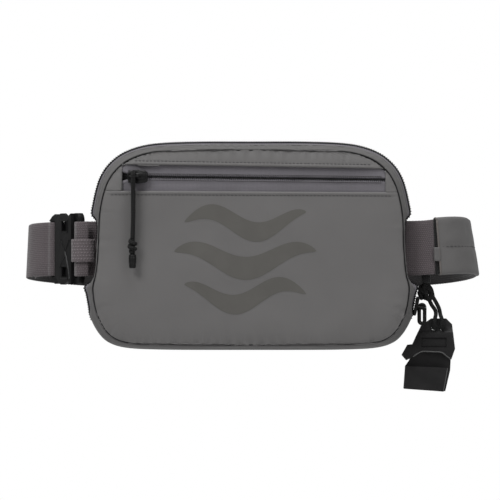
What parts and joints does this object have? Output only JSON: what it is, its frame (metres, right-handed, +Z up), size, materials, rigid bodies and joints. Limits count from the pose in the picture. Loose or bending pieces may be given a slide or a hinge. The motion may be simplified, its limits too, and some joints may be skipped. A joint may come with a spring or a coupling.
{
  "type": "throw rope bag",
  "caption": "Waist-worn pouch for a throw rope: clamshell bag with a perimeter zip, a zipped front pocket, a webbing belt with a side release buckle, and a hook clip on a cord lanyard.",
  "frame": {"origin": "middle of the back pad's flat rear face, which rests on the wearer", "axes": "+Z up, +Y out of the back pad towards the wearer, +X to the right seen from the front; the front faces -Y"},
  "size_m": [0.3202, 0.17, 0.1737],
  "materials": {
    "coated_fabric": "grey coated woven nylon, matt with a faint sheen",
    "zip_tape": "grey woven zip tape",
    "webbing": "grey nylon webbing, ribbed weave",
    "lining": "plain woven lining",
    "spacer_mesh": "dark grey air mesh over foam",
    "black_coil": "black nylon coil",
    "black_cord": "black braided cord",
    "buckle_plastic": "black moulded acetal, fine satin",
    "clip_plastic": "charcoal moulded plastic, satin"
  },
  "bodies": {
    "rear_shell": {"rear_gusset": "coated_fabric", "rear_piping": "coated_fabric", "back_panel": "lining", "back_pad": "spacer_mesh", "rope_anchor_loop": "webbing", "bottom_gusset": "coated_fabric", "main_zip_tape_rear": "zip_tape", "main_zip_coil_rear": "black_coil", "belt_right": "webbing", "belt_sleeve": "coated_fabric", "sleeve_tab": "coated_fabric", "strap_stub_left": "webbing", "strap_keeper_left": "webbing", "buckle_socket": "buckle_plastic", "lanyard_anchor_loop": "webbing"},
    "front_shell": {"front_panel_upper": "coated_fabric", "front_panel_lower": "coated_fabric", "pocket_tab_left": "coated_fabric", "pocket_tab_right": "coated_fabric", "front_gusset": "coated_fabric", "pocket_lining": "lining", "main_zip_tape_front": "zip_tape", "main_zip_coil_front": "black_coil", "pocket_zip_tape_upper": "zip_tape", "pocket_zip_tape_lower": "zip_tape", "pocket_zip_coil_upper": "black_coil", "pocket_zip_coil_lower": "black_coil"},
    "pocket_slider": {"pocket_slider": "buckle_plastic"},
    "pocket_pull": {"pocket_pull_cord": "black_cord", "pocket_pull_knot": "black_cord", "pocket_pull_end": "black_cord"},
    "main_slider": {"main_slider": "buckle_plastic"},
    "main_pull": {"main_pull_ring": "black_cord"},
    "buckle_plug": {"buckle_plug": "buckle_plastic", "belt_left": "webbing"},
    "prong_upper": {"buckle_prong_upper": "buckle_plastic"},
    "prong_lower": {"buckle_prong_lower": "buckle_plastic"},
    "lanyard": {"lanyard_knot": "black_cord", "lanyard_cord_left": "black_cord", "lanyard_cord_right": "black_cord"},
    "clip": {"clip_body": "clip_plastic", "lanyard_bight": "black_cord"}
  },
  "joints": [
    {"name": "front_opening", "type": "hinge", "parent": "rear_shell", "child": "front_shell", "pos_m": [0, -0.04685, -0.0726], "axis": [1, 0, 0], "range_deg": [0, 65]},
    {"name": "pocket_slider_travel", "type": "slide", "parent": "front_shell", "child": "pocket_slider", "axis": [0.9999, 0, -0.0121], "range_m": [0, 0.16]},
    {"name": "pocket_pull_swing", "type": "hinge", "parent": "pocket_slider", "child": "pocket_pull", "pos_m": [-0.0811, -0.0652, 0.04725], "axis": [-1, 0, 0], "range_deg": [0, 150]},
    {"name": "main_slider_travel", "type": "slide", "parent": "rear_shell", "child": "main_slider", "axis": [0.1789, 0, 0.9839], "range_m": [0, 0.01]},
    {"name": "main_pull_swing", "type": "hinge", "parent": "main_slider", "child": "main_pull", "pos_m": [0.11856, -0.044, -0.04311], "axis": [0, -1, 0], "range_deg": [0, 150]},
    {"name": "buckle_plug_travel", "type": "slide", "parent": "rear_shell", "child": "buckle_plug", "axis": [-0.4226, 0.9063, 0], "range_m": [0, 0.03]},
    {"name": "prong_upper_flex", "type": "hinge", "parent": "buckle_plug", "child": "prong_upper", "pos_m": [-0.13314, -0.00597, 0.0084], "axis": [0.9063, 0.4226, 0], "range_deg": [0, 7], "stiffness_Nm_per_rad": 1.5},
    {"name": "prong_lower_flex", "type": "hinge", "parent": "buckle_plug", "child": "prong_lower", "pos_m": [-0.13314, -0.00597, -0.0136], "axis": [-0.9063, -0.4226, 0], "range_deg": [0, 7], "stiffness_Nm_per_rad": 1.5},
    {"name": "lanyard_swing", "type": "hinge", "parent": "rear_shell", "child": "lanyard", "pos_m": [0.1214, -0.033, -0.0324], "axis": [0, -1, 0], "range_deg": [0, 60]},
    {"name": "clip_swing", "type": "hinge", "parent": "lanyard", "child": "clip", "pos_m": [0.1297, -0.0342, -0.0479], "axis": [1, 0, 0], "range_deg": [-35, 60]}
  ],
  "couplings": [
    {"joint": "prong_lower_flex", "follows": "prong_upper_flex", "ratio": 1}
  ]
}
